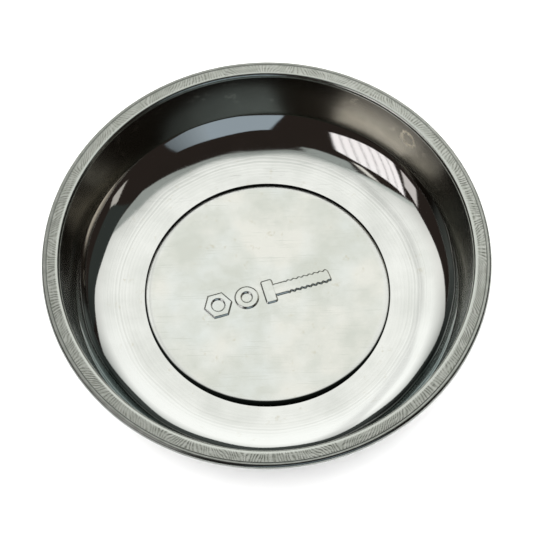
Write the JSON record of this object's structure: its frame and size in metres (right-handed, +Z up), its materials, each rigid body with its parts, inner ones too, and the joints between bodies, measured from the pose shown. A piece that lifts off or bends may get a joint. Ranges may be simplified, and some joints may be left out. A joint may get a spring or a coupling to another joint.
{
  "type": "magnetic parts dish",
  "caption": "Round pressed stainless steel dish with a rolled rim and a raised centre disc over a bonded ring magnet in a rubber boot; holds small steel parts.",
  "frame": {"origin": "centre of the rubber boot's underside, on the surface the dish stands on", "axes": "+Z up along the axis of the dish, towards its open mouth; +X and +Y span the rim, and the pressed emblem on the centre disc reads upright when seen from -Y, tilted 15 degrees from +X towards +Y"},
  "size_m": [0.15, 0.15, 0.04],
  "materials": {
    "stainless_steel": "satin",
    "ferrite": "matte",
    "boot_rubber": "matte",
    "adhesive": "satin"
  },
  "bodies": {
    "root": {"dish": "stainless_steel", "ring_magnet": "ferrite", "magnet_adhesive": "adhesive", "rubber_boot": "boot_rubber", "boot_adhesive": "adhesive"}
  },
  "joints": []
}
